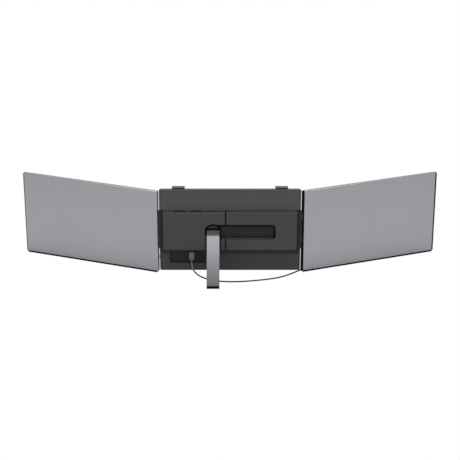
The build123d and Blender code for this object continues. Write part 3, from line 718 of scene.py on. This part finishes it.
def screwSkin(spot):
    # The head's top falls from its centre with the fourth power of the radius, and its cross recess is
    # sunk where a point lies inside either arm, with a soft edge. A side, a seat and a shank follow, each
    # ring a circle with a share of the head's radius.
    (x, _, z), back, front, radius = spot
    angle = np.linspace(0.0, 2.0 * math.pi, screw["spokes"], endpoint=False)
    out = np.linspace(0.0, 1.0, screw["rings"] + 1)[1:, None]
    across, up = out * np.cos(angle), out * np.sin(angle)

    def inside(value, edge):
        return np.clip((edge - np.abs(value)) / screw["edge"] + 0.5, 0.0, 1.0)

    cross = np.maximum(
        inside(across, screw["arm"]) * inside(up, screw["reach"]),
        inside(up, screw["arm"]) * inside(across, screw["reach"]),
    )
    top = front - mm * (screw["dome"] * out**4 + screw["depth"] * cross)
    seat = front - screw["head"] * mm
    rings = np.array([
        (1.0, seat + screw["chamfer"] * mm),
        (screw["rim"], seat),
        (screw["shank"], seat),
        (screw["shank"], back + screw["tipHeight"] * mm),
        (screw["tip"], back),
    ])
    share, height = rings[:, :1], rings[:, 1:]
    below = [x + radius * share * np.cos(angle), height + 0.0 * angle, z + radius * share * np.sin(angle)]
    rows = np.concatenate([np.stack([x + radius * across, top, z + radius * up], 2), np.stack(below, 2)])
    return closedRows((x, front - screw["depth"] * mm, z), rows, (x, back, z))


def makeScrews():
    for side in ("left", "right"):
        node = f"{side}_housing_screws"
        skins = map(screwSkin, screwSpots(node))
        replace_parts(makePiece(f"{side}_cross_screws", skins, f"{side}_half", "black_steel"), node)


# millimetres: half the size across and deep, the middle's depth, and the height of the housing's top
window = dict(
    size=(2.9, 2.5),
    middle=-6.3,
    top=150.5,
    rise=0.25,
    rings=((0.5, 1.0), (0.8, 0.9), (0.93, 0.65), (1.0, 0.2), (1.0, -0.8), (0.8, -0.8)),
    spokes=48,
)


def windowSkin(centre):
    # An oval lens with a rounded rim and a flat dome, let into the housing's top: each ring is an ellipse
    # with a share of the full size, at a share of the rise over the top.
    angle = np.linspace(0.0, 2.0 * math.pi, window["spokes"], endpoint=False)
    share, rise = np.array(window["rings"]).T[:, :, None]
    x = centre + window["size"][0] * share * np.cos(angle)
    y = window["middle"] + window["size"][1] * share * np.sin(angle)
    z = window["top"] + window["rise"] * rise + 0.0 * angle
    rows = np.stack([x * mm, boardBack + y * mm, z * mm], 2)
    axis = (centre * mm, boardBack + window["middle"] * mm)
    return closedRows((*axis, rows[0, 0, 2]), rows, (*axis, rows[-1, 0, 2]))


def makeWindows():
    # one over the middle of each light pipe, with a near-black finish that is painted shade for the look
    # of a sunk window
    low, high = span("led_light_pipes")
    radius = (high[1] - low[1]) / 2
    centres = [(low[0] + radius) / mm, (high[0] - radius) / mm]
    makePiece("indicator_windows", map(windowSkin, centres), "left_half", "smoked_lens")


makeScrews()
makeWindows()
print("screws and windows made")

studio = dict(
    floorSize=12.0,
    floorWhite=1.0,
    floorGrey=0.45,
    floorMottle=3.0,
    floorFleck=0.44,
    floorRough=0.9,
    floorGloss=0.1,
    skyTop=1.0,
    skySide=0.6,
    boxPower=6.0,
    boxSize=(1.1, 0.5),
    boxPlace=(0.0, 0.12, 0.85),
)


def makeFloor():
    # a pale sweep: it shows as plain white and gives back the softer light of a grey studio floor
    half = studio["floorSize"] / 2
    corners = [(-half, -half, 0.0), (half, -half, 0.0), (half, half, 0.0), (-half, half, 0.0)]
    data = bpy.data.meshes.new("floor")
    data.from_pydata(corners, [], [(0, 1, 2, 3)])
    floor = bpy.data.objects.new("floor", data)
    scene.collection.objects.link(floor)
    m = Shader("floor")
    grey, fleck = ((tone, tone, tone, 1.0) for tone in (studio["floorGrey"], studio["floorFleck"]))
    m.set(
        Base_Color=m.mix(m.noise(studio["floorMottle"], detail=2.0, roughness=0.5), grey, fleck),
        Roughness=studio["floorRough"],
        Specular_IOR_Level=studio["floorGloss"],
    )
    white = m.node("ShaderNodeEmission", None, {"Strength": studio["floorWhite"]})
    seen = m.node("ShaderNodeLightPath", output="Is Camera Ray")
    both = m.node("ShaderNodeMixShader", None, {0: seen, 1: Socket(m, m.surface.outputs[0]), 2: white})
    m.put(m.tree.nodes["Material Output"].inputs["Surface"], both)
    data.materials.append(m.material)


def makeLight():
    # a sky that is brightest overhead, and one softbox over the object
    world = bpy.data.worlds.new("studio")
    scene.world = world
    world.use_nodes = True
    nodes, links = world.node_tree.nodes, world.node_tree.links
    background = nodes["Background"]
    background.inputs["Color"].default_value = (1.0, 1.0, 1.0, 1.0)
    direction = nodes.new("ShaderNodeTexCoord")
    split = nodes.new("ShaderNodeSeparateXYZ")
    ramp = nodes.new("ShaderNodeMapRange")
    ramp.inputs["To Min"].default_value = studio["skySide"]
    ramp.inputs["To Max"].default_value = studio["skyTop"]
    links.new(direction.outputs["Generated"], split.inputs[0])
    links.new(split.outputs["Z"], ramp.inputs["Value"])
    links.new(ramp.outputs["Result"], background.inputs["Strength"])

    lamp = bpy.data.lights.new("softbox", "AREA")
    lamp.shape = "RECTANGLE"
    lamp.size, lamp.size_y = studio["boxSize"]
    lamp.energy = studio["boxPower"]
    box = bpy.data.objects.new("softbox", lamp)
    box.location = studio["boxPlace"]
    scene.collection.objects.link(box)
    scene.view_settings.view_transform = "Standard"


makeFloor()
makeLight()
print("studio made")
